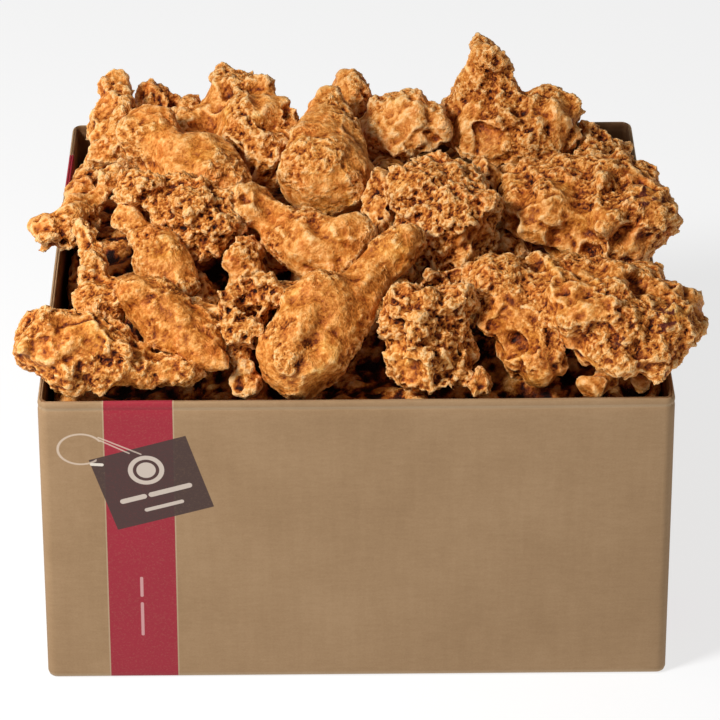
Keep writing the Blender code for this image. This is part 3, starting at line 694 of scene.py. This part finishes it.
# the carton
def roundedLoop(inset, radius, along, corner):
    # points of a rounded rectangle, from the front left corner round the front, right, back and left
    low = Vector((cartonLow.x + inset, cartonLow.y + inset))
    high = Vector((cartonHigh.x - inset, cartonHigh.y - inset))
    radius = max(radius - inset, 0.0008)
    corners = (((low.x + radius, low.y + radius), 180), ((high.x - radius, low.y + radius), 270),
               ((high.x - radius, high.y - radius), 0), ((low.x + radius, high.y - radius), 90))
    points = []
    for number, (middle, start) in enumerate(corners):
        arc = []
        for step in range(corner + 1):
            angle = math.radians(start + 90 * step / corner)
            arc.append(Vector((middle[0] + radius * math.cos(angle), middle[1] + radius * math.sin(angle))))
        points += arc
        nextMiddle, nextStart = corners[(number + 1) % 4]
        angle = math.radians(nextStart)
        goal = Vector((nextMiddle[0] + radius * math.cos(angle), nextMiddle[1] + radius * math.sin(angle)))
        for step in range(1, along):
            points.append(arc[-1].lerp(goal, step / along))
    return points


def makeCarton(material):
    board, top = cartonSizes["board"], cartonSizes["topRadius"]
    height, groove = cartonHigh.z, cartonSizes["groove"]
    crease = cartonSizes["creaseDepth"]
    profile = [(0.020, 0.0), (0.0045, 0.0), (0.0016, 0.0004), (0.0005, 0.0013), (0.0, 0.0032), (0.0, 0.006)]
    levels = 34
    profile += [(0.0, 0.006 + (height - 0.014) * step / levels) for step in range(1, levels)]
    profile += [(0.0, height - 0.0075), (crease * 0.6, height - 0.0060), (crease, height - 0.0052),
                (crease * 0.4, height - 0.0044), (0.0, height - 0.0030), (0.0002, height - 0.0016),
                (0.0006, height - 0.0005), (0.0011, height - 0.0001), (0.00145, height - 0.0003),
                (0.00165, height - groove), (0.00185, height - groove), (0.00205, height - 0.0003),
                (0.0024, height - 0.0001), (0.0029, height - 0.0005), (board - 0.0001, height - 0.0016),
                (board, height - 0.004), (board, height - 0.012), (board, height - 0.024),
                (board, height - 0.045), (board, height - 0.08), (board, 0.03), (board, board + 0.002),
                (board + 0.002, board), (board + 0.02, board)]
    skin = bmesh.new()
    rings = []
    for inset, level in profile:
        points = roundedLoop(inset, cartonSizes["cornerRadius"], 44, 6)
        rings.append([skin.verts.new((p.x, p.y, level)) for p in points])
    for first, second in zip(rings, rings[1:]):
        for number in range(len(first)):
            after = (number + 1) % len(first)
            skin.faces.new((first[number], first[after], second[after], second[number]))
    skin.faces.new(rings[0][::-1])
    skin.faces.new(rings[-1])
    halfX, halfY = cartonHigh.x, cartonHigh.y
    for vertex in skin.verts:
        # walls lean and bow a little and the top edge waves, as a full carton's do
        spot = vertex.co
        share = spot.z / height
        u, v = spot.x / halfX, spot.y / halfY
        swell = cartonSizes["bow"] * math.sin(math.pi * min(share, 1.0) * 0.9)
        waviness = noise.noise(Vector((spot.x * 9, spot.y * 9, spot.z * 5))) * 0.0009 * share
        if abs(u) > abs(v):
            spot.x += math.copysign(swell * (1 - v * v) + waviness, u)
        else:
            spot.y += math.copysign(swell * 0.5 * (1 - u * u) + waviness, v)
        spot.z += noise.noise(Vector((spot.x * 14, spot.y * 14, 3.1))) * 0.0007 * share ** 4
        spot.x *= 1 + cartonSizes["flare"] * (1 - share)
    bmesh.ops.recalc_face_normals(skin, faces=skin.faces)
    mesh = bpy.data.meshes.new("carton_board")
    skin.to_mesh(mesh)
    skin.free()
    for face in mesh.polygons:
        face.use_smooth = True
    mesh.materials.append(material)
    piece = bpy.data.objects.new("carton_board", mesh)
    bpy.context.scene.collection.objects.link(piece)
    return piece


printSizes = {"stripeStart": 0.0371, "stripeEnd": 0.0760, "backStripeStart": 0.054, "foldDepth": 0.030,
              "tagMiddle": (63.3, 56.9), "tagTurn": 17.0, "tagHalf": (28.8, 26.5)}


def capsule(write, u, v, start, end, radius):
    # 1 inside a round-ended bar; millimetres
    stepU, stepV = end[0] - start[0], end[1] - start[1]
    length = max(stepU * stepU + stepV * stepV, 1e-6)
    fromU, fromV = u - start[0], v - start[1]
    share = ((fromU * stepU + fromV * stepV) / length).most(0.0).least(1.0)
    offU, offV = fromU - share * stepU, fromV - share * stepV
    return ((offU * offU + offV * offV) ** 0.5).rise(radius + 0.22, radius - 0.22)


def makeBoardMaterial():
    material = bpy.data.materials.new("kraftBoard")
    material.use_nodes = True
    tree = material.node_tree
    write = Writer(tree)
    shader = tree.nodes["Principled BSDF"]
    place = write.add("ShaderNodeTexCoord", output=3)
    x, y, z = (write.add("ShaderNodeSeparateXYZ", None, {0: place}, n) for n in range(3))
    x = x / (1 + (1 - z / cartonHigh.z) * cartonSizes["flare"])
    stretched = write.vector("MULTIPLY", place, (0.25, 0.25, 1.0))
    upright = write.vector("MULTIPLY", place, (1.0, 1.0, 0.12))
    streak = write.noise(stretched, 0.0022, 3.0, 0.6) - 0.5
    flute = write.noise(upright, 0.0035, 1.0, 0.5, 2.0) - 0.5
    cloud = write.noise(place, 0.045, 3.0, 0.55, 1.0) - 0.5
    fibre = write.noise(place, 0.0012, 2.0, 0.7, 3.0) - 0.5
    shade = 0.5 + streak * 0.35 + cloud * 0.5 + fibre * 0.45 + flute * 0.2
    kraft = write.add("ShaderNodeValToRGB", {"stops": (
        (0.25, (0.295, 0.178, 0.088)), (0.50, (0.345, 0.214, 0.110)), (0.78, (0.400, 0.256, 0.138)))},
        {0: shade})
    top = cartonHigh.z
    edge = (top - z).rise(0.0066, 0.0046) * (top - z).rise(0.0030, 0.0046) + z.rise(0.0045, 0.0022)
    kraft = write.mixColour(edge * 0.35, kraft, solid((0.56, 0.42, 0.27)))
    inside = cartonSizes["board"] * 0.55
    front, back = y < cartonLow.y + inside, y > cartonHigh.y - inside
    left, right = x < cartonLow.x + inside, x > cartonHigh.x - inside
    outer = front.most(back).most(left).most(right)
    # inner walls are kraft darkened as painted shade, with grease stains whose near-black colour is partly painted
    # shade
    greaseAndShade = write.noise(place, 0.02, 3.0, 0.6, 9.0).rise(0.40, 0.62)
    innerKraftShaded = write.mixColour(1.0, kraft, solid((0.62, 0.50, 0.40)), "MULTIPLY")
    innerKraftShaded = write.mixColour(greaseAndShade * 0.6, innerKraftShaded, solid((0.085, 0.036, 0.014)))
    kraft = write.mixColour(outer, innerKraftShaded, kraft)
    # a stripe near the left end of every wall, seen from outside, that runs over the fold
    near = (top - z) < printSizes["foldDepth"]
    reach = 0.03

    def band(value, start, end):
        return (value > start) * (value < end)

    stripeWide = printSizes["stripeEnd"] - printSizes["stripeStart"]
    frontU, backU = x - cartonLow.x, cartonHigh.x - x
    rightU, leftU = y - cartonLow.y, cartonHigh.y - y
    walls = ((frontU, rightU, printSizes["stripeStart"]), (backU, leftU, printSizes["backStripeStart"]),
             (rightU, backU, printSizes["stripeStart"]), (leftU, frontU, printSizes["stripeStart"]))
    stripe, rims = None, None
    for along, depth, start in walls:
        here = (depth < inside).most((depth < reach) * near)
        mask = band(along, start, start + stripeWide) * here
        halo = band(along, start - 0.0008, start + stripeWide + 0.0008) * here
        stripe = mask if stripe is None else stripe.most(mask)
        rims = halo if rims is None else rims.most(halo)
    ink = 0.97 - fibre.most(0.0) * 0.5
    shader.inputs["Specular IOR Level"].default_value = 0.18
    kraft = write.mixColour(rims * 0.35, kraft, solid((0.60, 0.46, 0.32)))
    crimson = write.mixColour(cloud + 0.5, solid((0.350, 0.013, 0.036)), solid((0.300, 0.014, 0.030)))
    board = write.mixColour(stripe * ink, kraft, crimson)
    # the tag, its disc, its string and plain bars, in millimetres from the front's upper left corner
    u, v = frontU * 1000, (top - z) * 1000
    turn = math.radians(printSizes["tagTurn"])
    du, dv = u - printSizes["tagMiddle"][0], v - printSizes["tagMiddle"][1]
    a = du * math.cos(turn) - dv * math.sin(turn)
    b = du * math.sin(turn) + dv * math.cos(turn)
    halfA, halfB = printSizes["tagHalf"]
    tag = abs(a).rise(halfA + 0.2, halfA - 0.2) * abs(b).rise(halfB + 0.2, halfB - 0.2) * front
    disc = ((a * a + (b + 10.0) * (b + 10.0)) ** 0.5)
    pale = disc.rise(10.5, 10.1)
    leaf = disc.rise(7.7, 7.3) * disc.rise(5.3, 5.7)
    pale = pale * (1 - leaf)
    pale = pale.most(capsule(write, a, b, (-19.5, 7.6), (-7.0, 7.6), 1.7))
    pale = pale.most(capsule(write, a, b, (-2.5, 7.6), (20.0, 7.6), 1.7))
    pale = pale.most(capsule(write, a, b, (-8.5, 17.4), (12.5, 17.4), 1.25))
    knot = capsule(write, u, v, (29.6, 43.0), (35.4, 43.4), 1.0) * front
    ring = (((u - 23.6) / 12.9) ** 2 + ((v - 32.3) / 10.6) ** 2) ** 0.5
    ring = abs(ring - 1.0).rise(0.075, 0.035) * (1 - (u > 32.5) * (v > 27.0))
    strands = capsule(write, u, v, (34.8, 26.2), (51.0, 35.3), 0.45).most(
        capsule(write, u, v, (33.8, 24.0), (57.6, 36.0), 0.45))
    strandMask = ring.most(strands) * front * (1 - tag * (b > -17.5))
    words = capsule(write, u, v, (56.2, 127.0), (56.2, 140.5), 0.9).most(
        capsule(write, u, v, (56.2, 146.5), (56.2, 170.5), 0.9)) * front
    board = write.mixColour(tag * ink, board, solid((0.066, 0.038, 0.034)))
    board = write.mixColour(tag * pale * 0.9, board, solid((0.62, 0.52, 0.44)))
    board = write.mixColour(strandMask * 0.55, board, solid((0.78, 0.64, 0.52)))
    board = write.mixColour(knot * 0.9, board, solid((0.80, 0.72, 0.62)))
    board = write.mixColour(words * 0.6, board, solid((0.76, 0.48, 0.46)))
    tree.links.new(board.socket, shader.inputs["Base Color"])
    rough = 0.66 + fibre * 0.3 - stripe * 0.12
    tree.links.new(rough.socket, shader.inputs["Roughness"])
    height = fibre * 0.5 + streak * 0.4 + flute * 0.35
    bump = write.add("ShaderNodeBump", None, {"Height": height, "Strength": 0.22, "Distance": 0.0006})
    tree.links.new(bump.socket, shader.inputs["Normal"])
    return material


carton = makeCarton(makeBoardMaterial())
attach(carton, "root")
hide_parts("carton")
report("carton folded")

# floor, light and camera
floorMaterial = bpy.data.materials.new("paleFloor")
floorMaterial.use_nodes = True
floorShader = floorMaterial.node_tree.nodes["Principled BSDF"]
floorShader.inputs["Base Color"].default_value = (0.30, 0.30, 0.30, 1)
floorShader.inputs["Roughness"].default_value = 0.95
floorShader.inputs["Specular IOR Level"].default_value = 0.0
floorShader.inputs["Emission Color"].default_value = (1, 1, 1, 1)
floorShader.inputs["Emission Strength"].default_value = 0.72
floorMesh = bpy.data.meshes.new("floor")
half = 6.0
floorMesh.from_pydata([(-half, -half, 0), (half, -half, 0), (half, half, 0), (-half, half, 0)], [], [(0, 1, 2, 3)])
floorMesh.materials.append(floorMaterial)
floor = bpy.data.objects.new("floor", floorMesh)
bpy.context.scene.collection.objects.link(floor)


def addLight(name, place, target, power, size):
    light = bpy.data.lights.new(name, "AREA")
    light.shape = "DISK"
    light.size = size
    light.energy = power
    lamp = bpy.data.objects.new(name, light)
    bpy.context.scene.collection.objects.link(lamp)
    lamp.location = place
    lamp.rotation_euler = (Vector(target) - Vector(place)).to_track_quat("-Z", "Y").to_euler()
    return lamp


addLight("keyLight", (-0.80, -0.58, 1.12), (0, 0, 0.18), 20, 0.32)
addLight("fillLight", (0.9, -1.6, 0.9), (0, 0, 0.12), 1.5, 1.2)
world = bpy.data.worlds.new("studio")
bpy.context.scene.world = world
world.use_nodes = True
world.node_tree.nodes["Background"].inputs["Color"].default_value = (1.0, 1.0, 1.0, 1)
world.node_tree.nodes["Background"].inputs["Strength"].default_value = 0.22
bpy.context.scene.view_settings.view_transform = "Standard"

view = {"lens": 150.0, "turn": 0.66, "elevation": 35.34, "place": (-0.0140, -1.5169, 1.2010)}
lens = bpy.data.cameras.new("camera")
lens.sensor_width = 36.0
lens.lens = view["lens"]
camera = bpy.data.objects.new("camera", lens)
bpy.context.scene.collection.objects.link(camera)
camera.location = view["place"]
camera.rotation_euler = (math.radians(90 - view["elevation"]), 0, -math.radians(view["turn"]))
bpy.context.scene.camera = camera

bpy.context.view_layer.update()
report("done")
